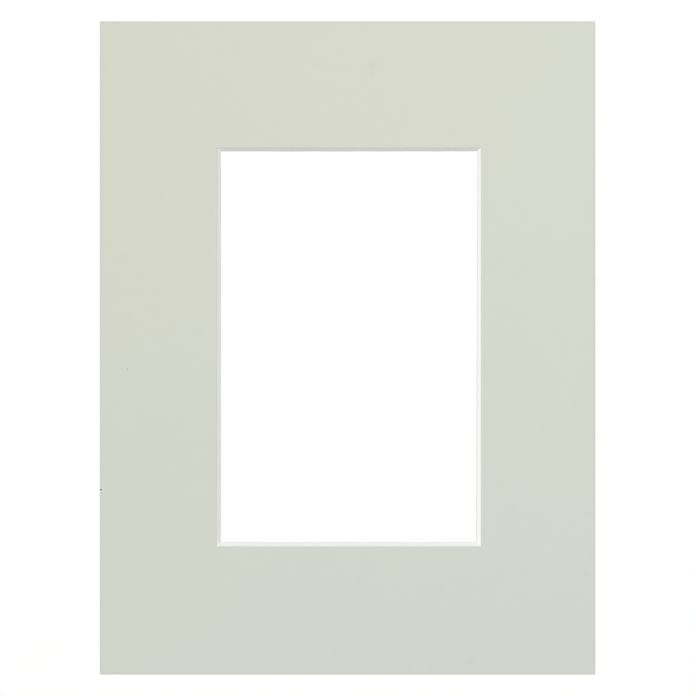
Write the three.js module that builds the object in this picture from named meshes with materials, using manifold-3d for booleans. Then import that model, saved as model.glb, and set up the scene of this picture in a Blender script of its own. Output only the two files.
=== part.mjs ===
// Picture mount: one sheet of mount board with a bevelled window cut through it.
// Millimetres. The board lies on its back with its face up (+Z), the top of the picture towards +Y
// and the origin in the middle of the back face.

import * as THREE from "three";
import { mergeVertices } from "three/addons/utils/BufferGeometryUtils.js";
import Module from "manifold-3d";

// Board: an 18 by 24 cm mount, trimmed on a guillotine.
const boardWidth = 180;
const boardHeight = 237.4;
const boardThickness = 1.5;

// The blade presses the face paper down a little along the four outer edges.
const edgeRollWidth = 0.18;
const edgeRollDepth = 0.12;

// Borders from the outer edge to the window's line on the face. The left line was cut a little out of square.
const topBorder = 46.0;
const bottomBorder = 46.4;
const rightBorder = 41.35;
const leftBorderAtTop = 42.6;
const leftBorderAtBottom = 42.3;

// Bevel widths seen from above. The cutter's blade stood steeper at the top of the window than at its bottom.
const topBevel = 1.2;
const bottomBevel = 1.6;
const leftBevelAtTop = 1.3;
const leftBevelAtBottom = 1.6;
const rightBevelAtTop = 1.35;
const rightBevelAtBottom = 1.9;

// A small dent knocked into the left edge, below the middle.
const dentHeight = 67.1;
const dentReach = 0.85;
const dentLength = 0.9;
const dentDepth = 0.55;
const dentSides = 12;
const dentRings = 8;

// Colour and finish of the face paper.
const faceColour = 0xd4d8cb;
const faceRoughness = 0.9;

// A ring is four corners at one height, anticlockwise from the lower left as seen from above.
function ring(z, left, right, bottom, top) {
  return [
    new THREE.Vector3(left.atBottom, bottom, z),
    new THREE.Vector3(right.atBottom, bottom, z),
    new THREE.Vector3(right.atTop, top, z),
    new THREE.Vector3(left.atTop, top, z),
  ];
}

// An upright line stands at the same place at its top and its bottom.
function upright(x) {
  return { atTop: x, atBottom: x };
}

// The board's outline, drawn in from its outer edge by a small inset.
function outlineRing(z, inset) {
  const halfWidth = boardWidth / 2 - inset;
  const halfHeight = boardHeight / 2 - inset;
  return ring(z, upright(-halfWidth), upright(halfWidth), -halfHeight, halfHeight);
}

// The window's outline on the face.
const windowLeft = {
  atTop: -boardWidth / 2 + leftBorderAtTop,
  atBottom: -boardWidth / 2 + leftBorderAtBottom,
};
const windowRight = upright(boardWidth / 2 - rightBorder);
const windowTop = boardHeight / 2 - topBorder;
const windowBottom = -boardHeight / 2 + bottomBorder;

function windowFaceRing() {
  return ring(boardThickness, windowLeft, windowRight, windowBottom, windowTop);
}

// The window's outline on the back, smaller than on the face by the bevel.
function windowBackRing() {
  const left = {
    atTop: windowLeft.atTop + leftBevelAtTop,
    atBottom: windowLeft.atBottom + leftBevelAtBottom,
  };
  const right = {
    atTop: windowRight.atTop - rightBevelAtTop,
    atBottom: windowRight.atBottom - rightBevelAtBottom,
  };
  return ring(0, left, right, windowBottom + bottomBevel, windowTop - topBevel);
}

// Joins each ring to the next and the last to the first, which closes the board's section into one solid.
function sectionRoundWindow(rings) {
  const corners = rings[0].length;
  const positions = rings.flat().flatMap((corner) => [corner.x, corner.y, corner.z]);
  const triangles = [];
  rings.forEach((_, i) => {
    const here = i * corners;
    const next = ((i + 1) % rings.length) * corners;
    for (let a = 0; a < corners; a += 1) {
      const b = (a + 1) % corners;
      triangles.push(here + a, here + b, next + b);
      triangles.push(here + a, next + b, next + a);
    }
  });
  const geometry = new THREE.BufferGeometry();
  geometry.setAttribute("position", new THREE.Float32BufferAttribute(positions, 3));
  geometry.setIndex(triangles);
  return geometry;
}

function boardGeometry() {
  return sectionRoundWindow([
    outlineRing(0, 0),
    outlineRing(boardThickness - edgeRollDepth, 0),
    outlineRing(boardThickness, edgeRollWidth),
    windowFaceRing(),
    windowBackRing(),
  ]);
}

// The dent is a shallow hollow, an ellipsoid centred on the left edge at the face.
function dentGeometry() {
  const geometry = new THREE.SphereGeometry(1, dentSides, dentRings);
  geometry.scale(dentReach, dentLength / 2, dentDepth);
  geometry.translate(-boardWidth / 2, -boardHeight / 2 + dentHeight, boardThickness);
  return geometry;
}

const wasm = await Module();
wasm.setup();

// A closed three.js geometry as a solid that can be cut.
function solidFrom(geometry) {
  const plain = geometry.clone();
  plain.deleteAttribute("normal");
  plain.deleteAttribute("uv");
  const merged = mergeVertices(plain);
  return new wasm.Manifold(
    new wasm.Mesh({
      numProp: 3,
      vertProperties: Float32Array.from(merged.attributes.position.array),
      triVerts: Uint32Array.from(merged.index.array),
    }),
  );
}

function geometryFrom(solid) {
  const mesh = solid.getMesh();
  const geometry = new THREE.BufferGeometry();
  geometry.setAttribute("position", new THREE.BufferAttribute(Float32Array.from(mesh.vertProperties), 3));
  geometry.setIndex(new THREE.BufferAttribute(Uint32Array.from(mesh.triVerts), 1));
  return geometry;
}

function mountBoard() {
  const geometry = geometryFrom(solidFrom(boardGeometry()).subtract(solidFrom(dentGeometry())));
  const flatShaded = geometry.toNonIndexed();
  flatShaded.computeVertexNormals();
  const paper = new THREE.MeshStandardMaterial({
    color: faceColour,
    roughness: faceRoughness,
    metalness: 0,
  });
  const mesh = new THREE.Mesh(flatShaded, paper);
  mesh.name = "mount_board";
  return mesh;
}

const pictureMount = new THREE.Group();
pictureMount.add(mountBoard());

export default pictureMount;
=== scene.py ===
"""A picture mount: sage grey-green face paper on a white core, with a bevelled window, lying face up."""

import math

import bpy
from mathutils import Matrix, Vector


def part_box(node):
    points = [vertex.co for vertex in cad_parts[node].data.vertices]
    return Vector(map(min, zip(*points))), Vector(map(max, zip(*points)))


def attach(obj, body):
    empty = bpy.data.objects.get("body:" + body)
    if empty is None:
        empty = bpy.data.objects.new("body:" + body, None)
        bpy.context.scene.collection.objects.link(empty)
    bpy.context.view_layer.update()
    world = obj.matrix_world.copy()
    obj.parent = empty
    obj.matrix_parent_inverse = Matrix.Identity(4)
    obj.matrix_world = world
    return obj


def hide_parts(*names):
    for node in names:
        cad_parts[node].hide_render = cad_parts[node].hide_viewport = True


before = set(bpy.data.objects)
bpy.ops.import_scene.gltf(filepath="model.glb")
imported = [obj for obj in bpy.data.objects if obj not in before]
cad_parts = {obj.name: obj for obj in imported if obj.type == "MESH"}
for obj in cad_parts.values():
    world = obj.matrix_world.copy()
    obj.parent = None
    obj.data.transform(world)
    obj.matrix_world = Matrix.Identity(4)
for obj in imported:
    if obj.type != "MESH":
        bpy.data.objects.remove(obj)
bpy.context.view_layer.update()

bl_info = {
    "name": "Picture Mount",
    "version": (1, 0, 0),
    "blender": (4, 5, 0),
    "location": "3D View > Sidebar > Picture Mount",
    "description": "Cuts a mount board with a bevelled window and lays it on a white table",
    "category": "Object",
}

MM = 0.001
NODE = "mount_board"
BODY = "root"

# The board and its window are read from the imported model, so that the dressed board fits it.
LOW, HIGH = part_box(NODE)
SAME_HEIGHT = 0.01 * MM


def window_corner(toward_x, toward_y, height):
    """The window's corner in one quarter of the board, on its face or on its back."""
    quarter = [
        vertex.co
        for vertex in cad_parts[NODE].data.vertices
        if abs(vertex.co.z - height) < SAME_HEIGHT
        and vertex.co.x * toward_x > 0
        and vertex.co.y * toward_y > 0
    ]
    return min(quarter, key=lambda corner: corner.xy.length)


FACE_UPPER_LEFT = window_corner(-1, 1, HIGH.z)
FACE_UPPER_RIGHT = window_corner(1, 1, HIGH.z)
FACE_LOWER_LEFT = window_corner(-1, -1, HIGH.z)
FACE_LOWER_RIGHT = window_corner(1, -1, HIGH.z)
BACK_UPPER_LEFT = window_corner(-1, 1, LOW.z)
BACK_UPPER_RIGHT = window_corner(1, 1, LOW.z)
BACK_LOWER_LEFT = window_corner(-1, -1, LOW.z)
BACK_LOWER_RIGHT = window_corner(1, -1, LOW.z)


def length(name, description, default):
    """A length that a user can set, in metres."""
    return bpy.props.FloatProperty(
        name=name, description=description, default=default, unit="LENGTH", subtype="DISTANCE", precision=5
    )


def linear(hex_colour):
    """An sRGB hex colour as linear red, green, blue and alpha."""
    shares = [int(hex_colour[i : i + 2], 16) / 255 for i in (1, 3, 5)]
    return tuple(s / 12.92 if s <= 0.04045 else ((s + 0.055) / 1.055) ** 2.4 for s in shares) + (1.0,)


def colour(name, description, hex_colour):
    """A colour that a user can set, given as sRGB hex."""
    return bpy.props.FloatVectorProperty(
        name=name, description=description, default=linear(hex_colour), size=4, min=0, max=1, subtype="COLOR"
    )


class BoardSizes(bpy.types.PropertyGroup):
    """Sizes of the board, of its window and of the small faults of its cuts."""

    width: length("Width", "Outside width of the board", HIGH.x - LOW.x)
    height: length("Height", "Outside height of the board", HIGH.y - LOW.y)
    thickness: length("Thickness", "Thickness of the board", HIGH.z - LOW.z)
    face_paper: length("Face Paper", "Thickness of the dyed paper on the face", 0.12 * MM)
    backing_paper: length("Backing Paper", "Thickness of the plain paper on the back", 0.4 * MM)
    roll_width: length("Roll Width", "How far in the guillotine pressed the outer edge", 0.18 * MM)
    roll_depth: length("Roll Depth", "How far down the guillotine pressed the outer edge", 0.12 * MM)
    top_border: length("Top Border", "Board above the window", HIGH.y - FACE_UPPER_LEFT.y)
    bottom_border: length("Bottom Border", "Board below the window", FACE_LOWER_LEFT.y - LOW.y)
    right_border: length("Right Border", "Board right of the window", HIGH.x - FACE_UPPER_RIGHT.x)
    left_border_top: length("Left Border Top", "Left of the window's top", FACE_UPPER_LEFT.x - LOW.x)
    left_border_bottom: length(
        "Left Border Bottom", "Board left of the window's bottom", FACE_LOWER_LEFT.x - LOW.x
    )
    top_bevel: length("Top Bevel", "Width of the top bevel", FACE_UPPER_LEFT.y - BACK_UPPER_LEFT.y)
    bottom_bevel: length("Bottom Bevel", "Width of the bottom bevel", BACK_LOWER_LEFT.y - FACE_LOWER_LEFT.y)
    left_bevel_top: length(
        "Left Bevel Top", "Width of the left bevel at its top", BACK_UPPER_LEFT.x - FACE_UPPER_LEFT.x
    )
    left_bevel_bottom: length(
        "Left Bevel Bottom", "Width of the left bevel at its bottom", BACK_LOWER_LEFT.x - FACE_LOWER_LEFT.x
    )
    right_bevel_top: length(
        "Right Bevel Top", "Width of the right bevel at its top", FACE_UPPER_RIGHT.x - BACK_UPPER_RIGHT.x
    )
    right_bevel_bottom: length(
        "Right Bevel Bottom",
        "Width of the right bevel at its bottom",
        FACE_LOWER_RIGHT.x - BACK_LOWER_RIGHT.x,
    )
    dent_height: length("Dent Height", "The dent in the left edge, above the bottom edge", 67.1 * MM)
    dent_reach: length("Dent Reach", "How far in from the left edge the dent reaches", 0.85 * MM)
    dent_length: length("Dent Length", "Length of the dent along the edge", 0.62 * MM)
    dent_depth: length("Dent Depth", "How far the dent goes below the face", 0.5 * MM)
    dent_rim: length("Dent Rim", "Height of the paper thrown up round the dent", 0.06 * MM)
    cockle_depth: length("Cockle Depth", "How far the face waves up and down", 0.02 * MM)
    cockle_width: length("Cockle Width", "Distance between two waves of the face", 35 * MM)
    waver_depth: length("Waver Depth", "How far the knife strayed from its line", 0.06 * MM)
    waver_width: length("Waver Width", "Distance between two strays of the knife", 9 * MM)
    steps_per_side: bpy.props.IntProperty(
        name="Steps Per Side", description="Faces along each side of the board", default=150, min=1
    )
    seed: bpy.props.IntProperty(name="Seed", description="Seed of the waves and the strays", default=4)


class BoardColours(bpy.types.PropertyGroup):
    """Colours of the board's three plies and of the dark tone in its dent."""

    # The face under the painted warm cast of light.
    face_warm: colour("Face Warm", "Face paper where light has yellowed it", "#D6D8CB")
    face_cool: colour("Face Cool", "Face paper as it was made", "#D4D9D0")
    core: colour("Core", "Bleached pulp inside the board", "#F7F7F4")
    # The backing's grey is partly the paper's own and partly painted shade at the window's foot.
    backing: colour("Backing", "Plain paper on the back", "#E9E9E6")
    # The dent's hollow is darkened towards this colour.
    dent_dark: colour("Dent Dark", "Grime in the dent", "#4A4B47")


class StageSettings(bpy.types.PropertyGroup):
    """Table, light and camera."""

    table_size: length("Table Size", "Side of the square white table", 6.0)
    view_width: length("View Width", "Width that the camera sees at the face of the board", 252.96 * MM)
    view_right: length("View Right", "Middle of the view, right of the board's middle", 0.22 * MM)
    view_up: length("View Up", "Middle of the view, above the board's middle", -0.09 * MM)
    key_distance: length("Key Distance", "From the board to the key lamp", 8.0)
    key_size: length("Key Size", "Side of the key lamp's soft box", 3.0)
    fill_distance: length("Fill Distance", "From the board to the fill lamp", 0.8)
    fill_size: length("Fill Size", "Side of the fill lamp's soft box", 0.3)
    lens: bpy.props.FloatProperty(name="Lens", description="Focal length in mm", default=90.0, min=1.0)
    key_share: bpy.props.FloatProperty(
        name="Key Share", description="Light on the face from the key lamp, of 1", default=0.52, min=0
    )
    fill_share: bpy.props.FloatProperty(
        name="Fill Share", description="Light on the face from the fill lamp, of 1", default=0.14, min=0
    )
    sky_share: bpy.props.FloatProperty(
        name="Sky Share", description="Light on the face from all round, of 1", default=0.36, min=0
    )
    lamp_colour: colour("Lamp Colour", "Colour of the two lamps", "#FFFEFC")
    sky_colour: colour("Sky Colour", "Colour of the light from all round", "#FDFEFF")


def own_properties(group):
    """The properties of a group that a user can set."""
    return [p for p in group.bl_rna.properties if p.identifier not in ("rna_type", "name")]


def add_node(tree, kind, settings=None, inputs=None, items=0):
    """Adds a node, sets it, and sets or links its inputs. Gives its first output that is in use."""
    node = tree.nodes.new(kind)
    for name, value in (settings or {}).items():
        setattr(node, name, value)
    for _ in range(items - 2):
        node.index_switch_items.new()
    for key, value in (inputs or {}).items():
        if isinstance(key, str):
            socket = next(s for s in node.inputs if s.name == key and s.enabled)
        else:
            socket = node.inputs[key]
        if isinstance(value, bpy.types.NodeSocket):
            tree.links.new(value, socket)
        else:
            socket.default_value = value
    return next((output for output in node.outputs if output.enabled), None)


# The board's section, as rows once round it from the foot of the outer edge. Each row gives its share of
# the roll's width, its further distance in from the outer edge, its share of the way from there to the
# window, its height by name, and how much painted shade darkens it near the edges. The roll's own rows are
# named for the degrees that the edge has turned there. The painted shade fades out before the plain face
# starts, and the window's edge gets a little of it too.
ROLL_TURNS = (22.5, 45, 67.5)
PLAIN_FACE = 1.8 * MM
SECTION = (
    [(0, 0, 0, height, 0) for height in ("Back", "Backing Top", "Middle", "Core Top", "Roll Foot")]
    + [(1 - math.cos(math.radians(turn)), 0, 0, turn, 1) for turn in ROLL_TURNS]
    + [(1, 0, 0, "Face", 1), (1, 0.1 * MM, 0, "Face", 0.9), (1, 0.2 * MM, 0, "Face", 0.8)]
    + [(1, 0.3 * MM, 0, "Face", 0.65), (1, 0.42 * MM, 0, "Face", 0.45), (1, 0.56 * MM, 0, "Face", 0.25)]
    + [(1, 0.75 * MM, 0, "Face", 0.1), (1, 1.1 * MM, 0, "Face", 0)]
    + [(1, PLAIN_FACE, share, "Face", 0) for share in (0, 0.1, 0.25, 0.45, 0.65, 0.85, 0.97, 0.992)]
    + [(0, 0, 1, height, 0.2) for height in ("Face", "Core Top", "Middle", "Backing Top", "Back")]
    + [(0, 0, share, "Back", 0) for share in (0.75, 0.5, 0.25)]
)

# Corners in the order that the sides are taken, as steps from the board's middle, and the sizes that put
# the window's corners in place.
CORNERS = ((-1, -1, 0), (1, -1, 0), (1, 1, 0), (-1, 1, 0))
WINDOW_CORNERS = (
    ("Left Border Bottom", "Left Bevel Bottom", "Bottom Border", "Bottom Bevel"),
    ("Right Border", "Right Bevel Bottom", "Bottom Border", "Bottom Bevel"),
    ("Right Border", "Right Bevel Top", "Top Border", "Top Bevel"),
    ("Left Border Top", "Left Bevel Top", "Top Border", "Top Bevel"),
)
LEFT_SIDE = 3

# The columns of faces crowd together at the dent, by this share and over this share of the left side. It is
# over well before the side's ends, so the board closes at its corners.
CROWDING = 0.97
CROWDED = 0.07

# A smooth noise lies round its middle and seldom leaves this range.
NOISE_LOW = 0.3
NOISE_MIDDLE = 0.5
NOISE_HIGH = 0.7

# The knife strays this share of its most at the face, and fully at the back.
STRAY_AT_FACE = 0.2

# The dent's middle lies this share of its reach in from the edge. It has a flat floor out to this share of
# its radius, and its rim is thrown up round it.
DENT_MIDDLE = 0.55
DENT_FLOOR = 0.5
RIM_DISTANCE = 1.65
RIM_WIDTH = 0.6

MERGE_DISTANCE = 0.001 * MM
SHARPEST_SMOOTH_EDGE = math.radians(34)


def around_the_window(tree, size, across_grid):
    """The side that a corner of the grid goes to, and how far along that side."""
    around = add_node(tree, "ShaderNodeMath", {"operation": "MULTIPLY"}, {0: across_grid, 1: len(CORNERS)})
    whole = add_node(tree, "ShaderNodeMath", {"operation": "FLOOR"}, {0: around})
    side = add_node(tree, "ShaderNodeMath", {"operation": "MINIMUM"}, {0: whole, 1: len(CORNERS) - 1})
    even = add_node(tree, "ShaderNodeMath", {"operation": "SUBTRACT"}, {0: around, 1: side})
    dent_up = add_node(
        tree, "ShaderNodeMath", {"operation": "DIVIDE"}, {0: size["Dent Height"], 1: size["Height"]}
    )
    dent_down = add_node(tree, "ShaderNodeMath", {"operation": "SUBTRACT"}, {0: 1, 1: dent_up})
    past = add_node(tree, "ShaderNodeMath", {"operation": "SUBTRACT"}, {0: even, 1: dent_down})
    spread = add_node(tree, "ShaderNodeMath", {"operation": "DIVIDE"}, {0: past, 1: CROWDED})
    squared = add_node(tree, "ShaderNodeMath", {"operation": "MULTIPLY"}, {0: spread, 1: spread})
    fade = add_node(tree, "ShaderNodeMath", {"operation": "MULTIPLY"}, {0: squared, 1: -1})
    near = add_node(tree, "ShaderNodeMath", {"operation": "EXPONENT"}, {0: fade})
    on_left = add_node(tree, "ShaderNodeMath", {"operation": "COMPARE"}, {0: side, 1: LEFT_SIDE, 2: 0.5})
    crowding = add_node(tree, "ShaderNodeMath", {"operation": "MULTIPLY"}, {0: near, 1: CROWDING})
    pull = add_node(tree, "ShaderNodeMath", {"operation": "MULTIPLY"}, {0: crowding, 1: past})
    left_pull = add_node(tree, "ShaderNodeMath", {"operation": "MULTIPLY"}, {0: pull, 1: on_left})
    along = add_node(tree, "ShaderNodeMath", {"operation": "SUBTRACT"}, {0: even, 1: left_pull})
    return side, along


def between_corners(tree, side, along, corners):
    """The point that is so far along a side, on the way from one corner to the next."""
    following = add_node(tree, "ShaderNodeMath", {"operation": "ADD"}, {0: side, 1: 1})
    next_side = add_node(tree, "ShaderNodeMath", {"operation": "MODULO"}, {0: following, 1: len(corners)})
    ends = [
        add_node(
            tree,
            "GeometryNodeIndexSwitch",
            {"data_type": "VECTOR"},
            {0: index, **dict(enumerate(corners, start=1))},
            items=len(corners),
        )
        for index in (side, next_side)
    ]
    return add_node(
        tree, "ShaderNodeMix", {"data_type": "VECTOR"}, {"Factor": along, "A": ends[0], "B": ends[1]}
    )


def window_line(tree, half, border, bevel, bevel_share, outward):
    """One line of the window, as its distance from the board's middle."""
    inward = add_node(
        tree, "ShaderNodeMath", {"operation": "MULTIPLY_ADD"}, {0: bevel_share, 1: bevel, 2: border}
    )
    distance = add_node(tree, "ShaderNodeMath", {"operation": "SUBTRACT"}, {0: half, 1: inward})
    return add_node(tree, "ShaderNodeMath", {"operation": "MULTIPLY"}, {0: distance, 1: outward})


def row_heights(tree, size):
    """The heights that the section's rows lie at, by their names in SECTION."""
    thickness = size["Thickness"]
    heights = {"Back": 0.0, "Backing Top": size["Backing Paper"], "Face": thickness}
    heights["Middle"] = add_node(tree, "ShaderNodeMath", {"operation": "MULTIPLY"}, {0: thickness, 1: 0.5})
    for name, ply in (("Core Top", "Face Paper"), ("Roll Foot", "Roll Depth")):
        heights[name] = add_node(
            tree, "ShaderNodeMath", {"operation": "SUBTRACT"}, {0: thickness, 1: size[ply]}
        )
    for turn in ROLL_TURNS:
        heights[turn] = add_node(
            tree,
            "ShaderNodeMath",
            {"operation": "MULTIPLY_ADD"},
            {0: size["Roll Depth"], 1: math.sin(math.radians(turn)), 2: heights["Roll Foot"]},
        )
    return heights


def row_values(tree, size, row):
    """The rule for a row of the section, its height, and how much painted shade darkens it near the edges.
    """
    heights = row_heights(tree, size)
    return [
        add_node(
            tree,
            "GeometryNodeIndexSwitch",
            {"data_type": kind},
            {0: row, **dict(enumerate(values, start=1))},
            items=len(values),
        )
        for kind, values in (
            ("VECTOR", [(roll, inset, inward) for roll, inset, inward, _, _ in SECTION]),
            ("FLOAT", [heights[name] for _, _, _, name, _ in SECTION]),
            ("FLOAT", [edge_shade for _, _, _, _, edge_shade in SECTION]),
        )
    ]


def section_place(tree, size, rule, height, side, along):
    """The point that a corner of the grid goes to, and how freely the knife strayed there."""
    roll, inset, inward = add_node(tree, "ShaderNodeSeparateXYZ", None, {0: rule}).node.outputs
    step_in = add_node(
        tree, "ShaderNodeMath", {"operation": "MULTIPLY_ADD"}, {0: roll, 1: size["Roll Width"], 2: inset}
    )
    halves = [
        add_node(tree, "ShaderNodeMath", {"operation": "MULTIPLY"}, {0: size[name], 1: 0.5})
        for name in ("Width", "Height")
    ]
    reach = [
        add_node(tree, "ShaderNodeMath", {"operation": "SUBTRACT"}, {0: half, 1: step_in}) for half in halves
    ]
    reach_both = add_node(tree, "ShaderNodeCombineXYZ", None, {0: reach[0], 1: reach[1]})
    outward = between_corners(tree, side, along, CORNERS)
    outer = add_node(tree, "ShaderNodeVectorMath", {"operation": "MULTIPLY"}, {0: outward, 1: reach_both})

    lift = add_node(tree, "ShaderNodeMath", {"operation": "DIVIDE"}, {0: height, 1: size["Thickness"]})
    bevel_share = add_node(tree, "ShaderNodeMath", {"operation": "SUBTRACT"}, {0: 1, 1: lift})
    corners = []
    for (right, up, _), names in zip(CORNERS, WINDOW_CORNERS):
        border_x, bevel_x, border_y, bevel_y = (size[name] for name in names)
        x = window_line(tree, halves[0], border_x, bevel_x, bevel_share, right)
        y = window_line(tree, halves[1], border_y, bevel_y, bevel_share, up)
        corners.append(add_node(tree, "ShaderNodeCombineXYZ", None, {0: x, 1: y}))
    window = between_corners(tree, side, along, corners)

    flat = add_node(
        tree, "ShaderNodeMix", {"data_type": "VECTOR"}, {"Factor": inward, "A": outer, "B": window}
    )
    rise = add_node(tree, "ShaderNodeCombineXYZ", None, {2: height})
    place = add_node(tree, "ShaderNodeVectorMath", {"operation": "ADD"}, {0: flat, 1: rise})
    down_the_bevel = add_node(
        tree, "ShaderNodeMath", {"operation": "MULTIPLY"}, {0: inward, 1: bevel_share}
    )
    freedom = add_node(
        tree,
        "ShaderNodeMath",
        {"operation": "MULTIPLY_ADD"},
        {0: down_the_bevel, 1: 1 - STRAY_AT_FACE, 2: STRAY_AT_FACE},
    )
    return place, freedom


def slow_noise(tree, size, width, detail):
    """A noise of the board's own seed, whose waves are this width apart."""
    place = add_node(tree, "GeometryNodeInputPosition")
    scale = add_node(tree, "ShaderNodeMath", {"operation": "DIVIDE"}, {0: 1, 1: width})
    return add_node(
        tree,
        "ShaderNodeTexNoise",
        {"noise_dimensions": "4D"},
        {"Vector": place, "W": size["Seed"], "Scale": scale, "Detail": detail},
    ).node.outputs


def knife_stray(tree, size, freedom):
    """How far the cut strays sideways from its line."""
    strays = slow_noise(tree, size, size["Waver Width"], detail=3)["Color"]
    either_way = add_node(
        tree, "ShaderNodeVectorMath", {"operation": "SUBTRACT"}, {0: strays, 1: (NOISE_MIDDLE,) * 3}
    )
    stretch = 1 / (NOISE_HIGH - NOISE_MIDDLE)
    sideways = add_node(
        tree, "ShaderNodeVectorMath", {"operation": "MULTIPLY"}, {0: either_way, 1: (stretch, stretch, 0)}
    )
    most = add_node(tree, "ShaderNodeMath", {"operation": "MULTIPLY"}, {0: freedom, 1: size["Waver Depth"]})
    return add_node(tree, "ShaderNodeVectorMath", {"operation": "SCALE"}, {0: sideways, "Scale": most})


def dent_shape(tree, size):
    """The dent's hollow and the rim round it, each from 0 to 1."""
    inward = add_node(
        tree, "ShaderNodeMath", {"operation": "MULTIPLY"}, {0: size["Dent Reach"], 1: DENT_MIDDLE}
    )
    left = add_node(
        tree, "ShaderNodeMath", {"operation": "MULTIPLY_ADD"}, {0: size["Width"], 1: -0.5, 2: inward}
    )
    up = add_node(
        tree,
        "ShaderNodeMath",
        {"operation": "MULTIPLY_ADD"},
        {0: size["Height"], 1: -0.5, 2: size["Dent Height"]},
    )
    middle = add_node(tree, "ShaderNodeCombineXYZ", None, {0: left, 1: up})
    place = add_node(tree, "GeometryNodeInputPosition")
    away = add_node(tree, "ShaderNodeVectorMath", {"operation": "SUBTRACT"}, {0: place, 1: middle})
    half_width = add_node(
        tree, "ShaderNodeMath", {"operation": "SUBTRACT"}, {0: size["Dent Reach"], 1: inward}
    )
    half_length = add_node(
        tree, "ShaderNodeMath", {"operation": "MULTIPLY"}, {0: size["Dent Length"], 1: 0.5}
    )
    radii = add_node(tree, "ShaderNodeCombineXYZ", None, {0: half_width, 1: half_length, 2: 1})
    in_radii = add_node(tree, "ShaderNodeVectorMath", {"operation": "DIVIDE"}, {0: away, 1: radii})
    distance = add_node(tree, "ShaderNodeVectorMath", {"operation": "LENGTH"}, {0: in_radii})
    off_rim = add_node(tree, "ShaderNodeMath", {"operation": "SUBTRACT"}, {0: distance, 1: RIM_DISTANCE})
    either_way = add_node(tree, "ShaderNodeMath", {"operation": "ABSOLUTE"}, {0: off_rim})
    return [
        add_node(
            tree,
            "ShaderNodeMapRange",
            {"interpolation_type": "SMOOTHSTEP"},
            {"Value": value, "From Min": start, "From Max": end, "To Min": 1, "To Max": 0},
        )
        for value, start, end in ((distance, DENT_FLOOR, 1), (either_way, 0, RIM_WIDTH))
    ]


def relief(tree, size, height, freedom, hollow, rim):
    """How far each point of the board lies off its plain place."""
    lift = add_node(tree, "ShaderNodeMath", {"operation": "DIVIDE"}, {0: height, 1: size["Thickness"]})
    waves = slow_noise(tree, size, size["Cockle Width"], detail=1)[0]
    low = add_node(tree, "ShaderNodeMath", {"operation": "MULTIPLY"}, {0: size["Cockle Depth"], 1: -1})
    cockle = add_node(
        tree,
        "ShaderNodeMapRange",
        None,
        {0: waves, 1: NOISE_LOW, 2: NOISE_HIGH, 3: low, 4: size["Cockle Depth"]},
    )
    sunk = add_node(tree, "ShaderNodeMath", {"operation": "MULTIPLY"}, {0: hollow, 1: size["Dent Depth"]})
    raised = add_node(
        tree, "ShaderNodeMath", {"operation": "MULTIPLY_ADD"}, {0: rim, 1: size["Dent Rim"], 2: cockle}
    )
    rise = add_node(tree, "ShaderNodeMath", {"operation": "SUBTRACT"}, {0: raised, 1: sunk})
    faded = add_node(tree, "ShaderNodeMath", {"operation": "MULTIPLY"}, {0: rise, 1: lift})
    upward = add_node(tree, "ShaderNodeCombineXYZ", None, {2: faded})
    stray = knife_stray(tree, size, freedom)
    return add_node(tree, "ShaderNodeVectorMath", {"operation": "ADD"}, {0: stray, 1: upward})


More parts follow.
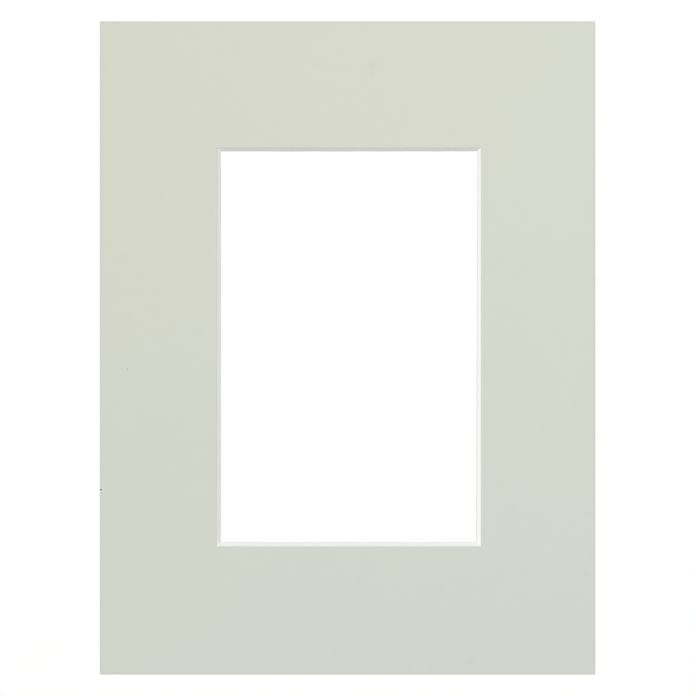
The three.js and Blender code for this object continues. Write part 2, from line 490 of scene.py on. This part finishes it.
def board_tree(sizes):
    """Sweeps the section round the window, then adds the cockle, the knife's strays and the dent."""
    tree = bpy.data.node_groups.new("Board Round A Window", "GeometryNodeTree")
    for prop in own_properties(sizes):
        kind = "NodeSocketInt" if prop.type == "INT" else "NodeSocketFloat"
        tree.interface.new_socket(name=prop.name, in_out="INPUT", socket_type=kind)
    for ply in ("Face Material", "Core Material", "Backing Material"):
        tree.interface.new_socket(name=ply, in_out="INPUT", socket_type="NodeSocketMaterial")
    tree.interface.new_socket(name="Board", in_out="OUTPUT", socket_type="NodeSocketGeometry")
    size = tree.nodes.new("NodeGroupInput").outputs

    columns = add_node(
        tree,
        "FunctionNodeIntegerMath",
        {"operation": "MULTIPLY_ADD"},
        {0: size["Steps Per Side"], 1: len(CORNERS), 2: 1},
    )
    grid = add_node(tree, "GeometryNodeMeshGrid", None, {2: columns, 3: len(SECTION) + 1})
    across_grid, up_grid, _ = add_node(
        tree, "ShaderNodeSeparateXYZ", None, {0: grid.node.outputs["UV Map"]}
    ).node.outputs
    side, along = around_the_window(tree, size, across_grid)
    rows_up = add_node(tree, "ShaderNodeMath", {"operation": "MULTIPLY"}, {0: up_grid, 1: len(SECTION)})
    whole = add_node(tree, "ShaderNodeMath", {"operation": "ROUND"}, {0: rows_up})
    row = add_node(tree, "ShaderNodeMath", {"operation": "MODULO"}, {0: whole, 1: len(SECTION)})
    rule, height, edge_shade = row_values(tree, size, row)
    place, freedom = section_place(tree, size, rule, height, side, along)
    board = add_node(tree, "GeometryNodeSetPosition", None, {"Geometry": grid, "Position": place})

    travelled = add_node(tree, "ShaderNodeMath", {"operation": "ADD"}, {0: side, 1: along})
    knife_path = add_node(
        tree, "ShaderNodeMath", {"operation": "MULTIPLY"}, {0: travelled, 1: size["Height"]}
    )
    path = add_node(tree, "ShaderNodeCombineXYZ", None, {0: knife_path, 1: height})
    hollow, rim = dent_shape(tree, size)
    at_points = {"domain": "POINT", "data_type": "FLOAT"}
    point_height = add_node(tree, "GeometryNodeFieldOnDomain", at_points, {0: height})
    # One of these attributes carries painted shade along the board's edges.
    for name, kind, domain, value in (
        ("ply_height", "FLOAT", "FACE", point_height),
        ("knife_path", "FLOAT2", "CORNER", path),
        ("edge_shade", "FLOAT", "POINT", edge_shade),
        ("dent_hollow", "FLOAT", "POINT", hollow),
        ("dent_rim", "FLOAT", "POINT", rim),
    ):
        board = add_node(
            tree,
            "GeometryNodeStoreNamedAttribute",
            {"data_type": kind, "domain": domain},
            {0: board, "Name": name, "Value": value},
        )
    offset = relief(tree, size, height, freedom, hollow, rim)
    board = add_node(tree, "GeometryNodeSetPosition", None, {"Geometry": board, "Offset": offset})
    board = add_node(tree, "GeometryNodeMergeByDistance", None, {0: board, "Distance": MERGE_DISTANCE})
    board = add_node(tree, "GeometryNodeRealizeInstances", None, {0: board})

    core_top = row_heights(tree, size)["Core Top"]
    ply_height = add_node(tree, "GeometryNodeInputNamedAttribute", {"data_type": "FLOAT"}, {0: "ply_height"})
    in_face = add_node(tree, "ShaderNodeMath", {"operation": "GREATER_THAN"}, {0: ply_height, 1: core_top})
    in_backing = add_node(
        tree, "ShaderNodeMath", {"operation": "LESS_THAN"}, {0: ply_height, 1: size["Backing Paper"]}
    )
    everywhere = True
    for ply, where in (
        ("Core Material", everywhere),
        ("Face Material", in_face),
        ("Backing Material", in_backing),
    ):
        board = add_node(
            tree, "GeometryNodeSetMaterial", None, {0: board, "Selection": where, "Material": size[ply]}
        )
    tree.links.new(board, tree.nodes.new("NodeGroupOutput").inputs["Board"])
    return tree


def made_plain(name, tree, values):
    """The plain mesh object that a tree makes with these values for its named inputs."""
    piece = bpy.data.objects.new(name, bpy.data.meshes.new(name))
    bpy.context.scene.collection.objects.link(piece)
    modifier = piece.modifiers.new(tree.name, "NODES")
    modifier.node_group = tree
    for item in tree.interface.items_tree:
        if item.in_out == "INPUT":
            modifier[item.identifier] = values[item.name]
    depsgraph = bpy.context.evaluated_depsgraph_get()
    mesh = bpy.data.meshes.new_from_object(
        piece.evaluated_get(depsgraph), preserve_all_data_layers=True, depsgraph=depsgraph
    )
    if not mesh.polygons:
        raise RuntimeError(f"{name} came out without a face")
    piece.modifiers.remove(modifier)
    piece.data = mesh
    mesh.name = name
    # A grid comes with an empty material slot, and every face has its own material by now.
    mesh.materials.pop(index=0)
    mesh.set_sharp_from_angle(angle=SHARPEST_SMOOTH_EDGE)
    return piece


def paper(name, roughness, specular):
    """A new matt material for one ply, with its node tree, its shader and where it is on the board."""
    material = bpy.data.materials.new(name)
    material.use_nodes = True
    tree = material.node_tree
    shader = tree.nodes["Principled BSDF"]
    shader.inputs["Roughness"].default_value = roughness
    shader.inputs["Specular IOR Level"].default_value = specular
    place = add_node(tree, "ShaderNodeTexCoord").node.outputs["Object"]
    return material, tree, shader, place


def varied(tree, vector, size, low, high, detail=2.0):
    """A noise with spots of a real size, turned to run from low to high."""
    inputs = {"Vector": vector, "Scale": 1 / size, "Detail": detail}
    noise = add_node(tree, "ShaderNodeTexNoise", None, inputs)
    return add_node(
        tree, "ShaderNodeMapRange", None, {0: noise, 1: NOISE_LOW, 2: NOISE_HIGH, 3: low, 4: high}
    )


# Faint marks on the face: middle right of and above the board's middle, half width, half height, and the
# share of light that the mark takes, below 0 where the paper is rubbed lighter.
SMUDGE = (
    (8.6 * MM, 99.6 * MM, 1.4 * MM, 1.7 * MM, 0.025),
    (8.8 * MM, 102.5 * MM, 1.2 * MM, 4.8 * MM, 0.014),
    (9.6 * MM, 103.2 * MM, 3.6 * MM, 2.4 * MM, 0.014),
    (5.2 * MM, 103.0 * MM, 1.8 * MM, 1.2 * MM, 0.008),
)
SPECKS = (
    (-80.05 * MM, -7.75 * MM, 0.5 * MM, 0.5 * MM, 0.26),
    (-79.9 * MM, -8.1 * MM, 0.9 * MM, 0.8 * MM, 0.05),
    (-81.1 * MM, -7.6 * MM, 0.4 * MM, 0.6 * MM, -0.08),
)
SCUFFS = (
    (-11.8 * MM, 102.5 * MM, 1.6 * MM, 1.4 * MM, 0.014),
    (-81.7 * MM, -99.6 * MM, 0.7 * MM, 1.6 * MM, 0.035),
    (-82.6 * MM, -99.8 * MM, 0.5 * MM, 1.2 * MM, -0.03),
    (44.7 * MM, -114.2 * MM, 2.2 * MM, 1.7 * MM, 0.028),
    (86.6 * MM, -82.2 * MM, 1.3 * MM, 1.4 * MM, 0.035),
)


def mark(tree, place, right, up, half_width, half_height, darkness):
    """The share of light that is left by a soft mark."""
    away = add_node(tree, "ShaderNodeVectorMath", {"operation": "SUBTRACT"}, {0: place, 1: (right, up, 0)})
    in_radii = add_node(
        tree, "ShaderNodeVectorMath", {"operation": "DIVIDE"}, {0: away, 1: (half_width, half_height, 1)}
    )
    distance = add_node(tree, "ShaderNodeVectorMath", {"operation": "LENGTH"}, {0: in_radii})
    return add_node(
        tree,
        "ShaderNodeMapRange",
        {"interpolation_type": "SMOOTHSTEP"},
        {"Value": distance, "From Min": 0, "From Max": 1, "To Min": 1 - darkness, "To Max": 1},
    )


# A warm cast of light is painted on the face, stronger in this direction, from one end of this reach about
# the middle to the other.
WARM_CAST_TOWARDS = (-0.5, 0.87, 0)
WARM_CAST_REACH = 120 * MM

# The light that the face gives back under the most painted edge shade, and how fully the ripped core covers
# the dent's rim and the dark tone its hollow.
EDGE_SHADE_LIGHT = 0.95
RIM_STRENGTH = 0.9
DENT_DARK_STRENGTH = 0.95


def face_paper(colours):
    """Wood-pulp paper, dyed through, uncoated and lightly pressed.

    It is quite matt, with a soft felt grain and a slightly cloudy tone. A warm cast of light is painted on
    it, stronger towards its upper left. The real fibres are about 0.03 mm thick, finer than the picture
    shows, so they are drawn as a grain of 0.4 mm.
    """
    material, tree, shader, place = paper("dyed face paper", roughness=0.9, specular=0.2)
    # A warm cast of light is painted on the face, stronger towards its upper left.
    up_left = add_node(
        tree, "ShaderNodeVectorMath", {"operation": "DOT_PRODUCT"}, {0: place, 1: WARM_CAST_TOWARDS}
    )
    patches = varied(tree, place, 70 * MM, -30 * MM, 30 * MM)
    along = add_node(tree, "ShaderNodeMath", {"operation": "ADD"}, {0: up_left, 1: patches})
    warmed = add_node(
        tree, "ShaderNodeMapRange", None, {0: along, 1: -WARM_CAST_REACH, 2: WARM_CAST_REACH, 3: 0, 4: 1}
    )
    tone = add_node(
        tree,
        "ShaderNodeMix",
        {"data_type": "RGBA"},
        {"Factor": warmed, "A": tuple(colours.face_cool), "B": tuple(colours.face_warm)},
    )
    clouds = varied(tree, place, 4 * MM, 0.995, 1.005)
    grain = varied(tree, place, 0.4 * MM, 0.992, 1.008)
    # Painted shade along the outer edge and the window's edge.
    edge_shade_amount = add_node(tree, "ShaderNodeAttribute", {"attribute_name": "edge_shade"}).node.outputs["Fac"]
    edge_shaded = add_node(tree, "ShaderNodeMapRange", None, {0: edge_shade_amount, 1: 0, 2: 1, 3: 1, 4: EDGE_SHADE_LIGHT})
    marks = [mark(tree, place, *sizes) for sizes in SMUDGE + SPECKS + SCUFFS]
    for share in [clouds, grain, edge_shaded] + marks:
        tone = add_node(tree, "ShaderNodeVectorMath", {"operation": "SCALE"}, {0: tone, "Scale": share})
    # The dent's rim takes the core's white, and its hollow is darkened towards a dark tone.
    for name, cover_tone, strength in (
        ("dent_rim", colours.core, RIM_STRENGTH),
        ("dent_hollow", colours.dent_dark, DENT_DARK_STRENGTH),
    ):
        amount = add_node(tree, "ShaderNodeAttribute", {"attribute_name": name}).node.outputs["Fac"]
        share = add_node(tree, "ShaderNodeMath", {"operation": "MULTIPLY"}, {0: amount, 1: strength})
        tone = add_node(
            tree, "ShaderNodeMix", {"data_type": "RGBA"}, {"Factor": share, "A": tone, "B": tuple(cover_tone)}
        )
    tree.links.new(tone, shader.inputs["Base Color"])
    felt = varied(tree, place, 0.5 * MM, 0, 1, detail=4.0)
    relief_of_felt = add_node(tree, "ShaderNodeBump", None, {"Distance": 0.012 * MM, "Height": felt})
    tree.links.new(relief_of_felt, shader.inputs["Normal"])
    return material


# Painted shade and light on the core: the light it gives back on the top and bottom bevels, and on the left
# and right bevels.
TOP_BOTTOM_BEVEL_SHADE = 0.94
SIDE_BEVEL_LIGHT = 1.03

# A line that the blade left: its length along the cut, and its width.
KNIFE_LINE = (7 * MM, 0.12 * MM)


def cut_core(colours, side_length):
    """Bleached wood pulp, pressed into board and sliced by a blade.

    It is white and quite matt, with faint lines where the blade dragged along the cut. Its top and bottom
    bevels are painted darker and its left and right bevels lighter, as painted shade and painted light. The
    real lines and fibres are finer than the picture shows, so they are drawn 0.12 and 0.3 mm wide.
    """
    material, tree, shader, place = paper("bleached pulp core", roughness=0.95, specular=0.2)
    path = add_node(tree, "ShaderNodeUVMap", {"uv_map": "knife_path"})
    travelled = add_node(tree, "ShaderNodeSeparateXYZ", None, {0: path})
    # Painted shade on the top and bottom bevels, and painted light on the left and right ones.
    on_pair = add_node(tree, "ShaderNodeMath", {"operation": "MODULO"}, {0: travelled, 1: 2 * side_length})
    on_top_or_bottom = add_node(tree, "ShaderNodeMath", {"operation": "LESS_THAN"}, {0: on_pair, 1: side_length})
    painted_bevel_light = add_node(
        tree, "ShaderNodeMapRange", None, {0: on_top_or_bottom, 1: 0, 2: 1, 3: SIDE_BEVEL_LIGHT, 4: TOP_BOTTOM_BEVEL_SHADE}
    )
    per_line = tuple(1 / size for size in KNIFE_LINE) + (0,)
    drag = add_node(tree, "ShaderNodeVectorMath", {"operation": "MULTIPLY"}, {0: path, 1: per_line})
    lines = varied(tree, drag, 1, 0.97, 1.02)
    pulp = varied(tree, place, 0.3 * MM, 0.985, 1.01)
    tone = tuple(colours.core)[:3]
    for share in (painted_bevel_light, lines, pulp):
        tone = add_node(tree, "ShaderNodeVectorMath", {"operation": "SCALE"}, {0: tone, "Scale": share})
    tree.links.new(tone, shader.inputs["Base Color"])
    dragged = varied(tree, drag, 1, 0, 1)
    grooves = add_node(tree, "ShaderNodeBump", None, {"Distance": 0.02 * MM, "Height": dragged})
    tree.links.new(grooves, shader.inputs["Normal"])
    return material


def backing_paper(colours):
    """Plain wood-pulp paper, pressed smooth, that keeps the board from curling.

    It is a matt, slightly grey white with faint clouds. Its grey is partly the paper's own and partly
    painted shade where it shows at the window's foot. Its grain is drawn as coarse as the face's.
    """
    material, tree, shader, place = paper("plain backing paper", roughness=0.85, specular=0.3)
    clouds = varied(tree, place, 5 * MM, 0.985, 1.01)
    grain = varied(tree, place, 0.4 * MM, 0.985, 1.01)
    tone = tuple(colours.backing)[:3]
    for share in (clouds, grain):
        tone = add_node(tree, "ShaderNodeVectorMath", {"operation": "SCALE"}, {0: tone, "Scale": share})
    tree.links.new(tone, shader.inputs["Base Color"])
    felt = varied(tree, place, 0.6 * MM, 0, 1, detail=3.0)
    relief_of_felt = add_node(tree, "ShaderNodeBump", None, {"Distance": 0.008 * MM, "Height": felt})
    tree.links.new(relief_of_felt, shader.inputs["Normal"])
    return material


class MOUNT_OT_cut_board(bpy.types.Operator):
    """Cuts the board and its window, and gives its plies their papers"""

    bl_idname = "mount.cut_board"
    bl_label = "Cut Board"

    def execute(self, context):
        sizes = context.scene.mount_sizes
        colours = context.scene.mount_colours
        values = {p.name: getattr(sizes, p.identifier) for p in own_properties(sizes)}
        values["Face Material"] = face_paper(colours)
        values["Core Material"] = cut_core(colours, sizes.height)
        values["Backing Material"] = backing_paper(colours)
        board = made_plain("window_mount", board_tree(sizes), values)
        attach(board, BODY)
        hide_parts(NODE)
        return {"FINISHED"}


def seen_share(tree):
    """Where a ray comes from the camera, a reflection or a glass: 1, or else 0."""
    seen = add_node(tree, "ShaderNodeLightPath").node.outputs
    camera_or_glossy = add_node(
        tree,
        "ShaderNodeMath",
        {"operation": "MAXIMUM"},
        {0: seen["Is Camera Ray"], 1: seen["Is Glossy Ray"]},
    )
    return add_node(
        tree,
        "ShaderNodeMath",
        {"operation": "MAXIMUM"},
        {0: camera_or_glossy, 1: seen["Is Transmission Ray"]},
    )


# To the camera, the table gives back this share of its light, so that a deep shadow shows, and adds this
# glow. The two make a little over 1, which keeps the open table plain white.
TABLE_TONE = "#E6E6E6"
SHADOW_SHARE = 0.38
TABLE_GLOW = 0.64


def white_table():
    """A white laminate table. The camera sees it as plain white with only the deepest of the shadows."""
    material = bpy.data.materials.new("white laminate table")
    material.use_nodes = True
    tree = material.node_tree
    tree.nodes.clear()
    real = add_node(tree, "ShaderNodeBsdfDiffuse", None, {"Color": linear(TABLE_TONE)})
    shade = add_node(tree, "ShaderNodeBsdfDiffuse", None, {"Color": (SHADOW_SHARE,) * 3 + (1,)})
    glow = add_node(tree, "ShaderNodeEmission", None, {"Strength": TABLE_GLOW})
    shown = add_node(tree, "ShaderNodeAddShader", None, {0: shade, 1: glow})
    surface = add_node(tree, "ShaderNodeMixShader", None, {0: seen_share(tree), 1: real, 2: shown})
    add_node(tree, "ShaderNodeOutputMaterial", None, {"Surface": surface})
    return material


# The board sinks this far into the table, so that its back and the table's top don't share one plane.
BOARD_SINKS = 0.02 * MM


def lay_table(settings):
    """The flat table that the board lies on."""
    half = settings.table_size / 2
    corners = [(right * half, up * half, LOW.z + BOARD_SINKS) for right, up, _ in CORNERS]
    mesh = bpy.data.meshes.new("table")
    mesh.from_pydata(corners, [], [tuple(range(len(corners)))])
    mesh.materials.append(white_table())
    table = bpy.data.objects.new("table", mesh)
    bpy.context.scene.collection.objects.link(table)


def light_all_round(settings):
    """An even light from all round, and plain white where the camera looks past the table."""
    world = bpy.data.worlds.new("white room")
    world.use_nodes = True
    tree = world.node_tree
    tree.nodes.clear()
    sky = add_node(
        tree,
        "ShaderNodeBackground",
        None,
        {"Color": tuple(settings.sky_colour), "Strength": settings.sky_share},
    )
    white = add_node(tree, "ShaderNodeBackground", None, {"Color": (1, 1, 1, 1), "Strength": 1.0})
    surface = add_node(tree, "ShaderNodeMixShader", None, {0: seen_share(tree), 1: sky, 2: white})
    add_node(tree, "ShaderNodeOutputWorld", None, {"Surface": surface})
    bpy.context.scene.world = world


# The key lamp stands far off to the upper left of the board. The fill lamp hangs close to its upper right,
# so its light falls off towards the lower left.
KEY_DIRECTION = Vector((-0.4, 0.25, 1.0)).normalized()
FILL_DIRECTION = Vector((0.5, 0.5, 1.0)).normalized()


def hang_lamp(name, direction, distance, size, share, tint):
    """A square soft box that gives the face this share of its light.

    The face gives back a lamp's energy over pi squared and the distance squared, times the cosine of the
    slant that its light comes in at, so the energy is worked out the other way round.
    """
    lamp = bpy.data.lights.new(name, "AREA")
    lamp.shape = "SQUARE"
    lamp.size = size
    lamp.color = tuple(tint)[:3]
    lamp.energy = share * math.pi**2 * distance**2 / direction.z
    holder = bpy.data.objects.new(name, lamp)
    bpy.context.scene.collection.objects.link(holder)
    holder.location = (LOW + HIGH) / 2 + direction * distance
    holder.rotation_euler = direction.to_track_quat("Z", "Y").to_euler()


def hang_lamps(settings):
    """The two lamps of the stage."""
    tint = settings.lamp_colour
    hang_lamp("key lamp", KEY_DIRECTION, settings.key_distance, settings.key_size, settings.key_share, tint)
    hang_lamp(
        "fill lamp", FILL_DIRECTION, settings.fill_distance, settings.fill_size, settings.fill_share, tint
    )


def set_camera(settings):
    """Looks straight down on the board, with the picture's top upwards."""
    camera = bpy.data.cameras.new("camera")
    camera.lens = settings.lens
    camera.sensor_fit = "HORIZONTAL"
    holder = bpy.data.objects.new("camera", camera)
    bpy.context.scene.collection.objects.link(holder)
    above = settings.view_width * settings.lens / camera.sensor_width
    holder.location = (settings.view_right, settings.view_up, HIGH.z + above)
    camera.clip_start = above / 10
    camera.clip_end = above * 100
    bpy.context.scene.camera = holder


class MOUNT_OT_set_stage(bpy.types.Operator):
    """Lays the white table, hangs the lights and sets the camera above the board"""

    bl_idname = "mount.set_stage"
    bl_label = "Set Stage"

    def execute(self, context):
        settings = context.scene.mount_stage
        lay_table(settings)
        light_all_round(settings)
        hang_lamps(settings)
        set_camera(settings)
        context.scene.view_settings.view_transform = "Standard"
        return {"FINISHED"}


class MOUNT_PT_sidebar(bpy.types.Panel):
    """The mount's sizes, colours and stage, and the operators that make them"""

    bl_idname = "MOUNT_PT_sidebar"
    bl_label = "Picture Mount"
    bl_space_type = "VIEW_3D"
    bl_region_type = "UI"
    bl_category = "Picture Mount"

    def draw(self, context):
        for operator, groups in (
            (MOUNT_OT_cut_board, ("mount_sizes", "mount_colours")),
            (MOUNT_OT_set_stage, ("mount_stage",)),
        ):
            box = self.layout.box()
            for name in groups:
                group = getattr(context.scene, name)
                for prop in own_properties(group):
                    box.prop(group, prop.identifier)
            box.operator(operator.bl_idname)


CLASSES = (
    BoardSizes,
    BoardColours,
    StageSettings,
    MOUNT_OT_cut_board,
    MOUNT_OT_set_stage,
    MOUNT_PT_sidebar,
)


def register():
    for item in CLASSES:
        bpy.utils.register_class(item)
    bpy.types.Scene.mount_sizes = bpy.props.PointerProperty(type=BoardSizes)
    bpy.types.Scene.mount_colours = bpy.props.PointerProperty(type=BoardColours)
    bpy.types.Scene.mount_stage = bpy.props.PointerProperty(type=StageSettings)


def unregister():
    del bpy.types.Scene.mount_stage
    del bpy.types.Scene.mount_colours
    del bpy.types.Scene.mount_sizes
    for item in reversed(CLASSES):
        bpy.utils.unregister_class(item)


def main():
    """Makes the mount and its stage."""
    register()
    bpy.ops.mount.cut_board()
    bpy.ops.mount.set_stage()


if __name__ == "__main__":
    main()
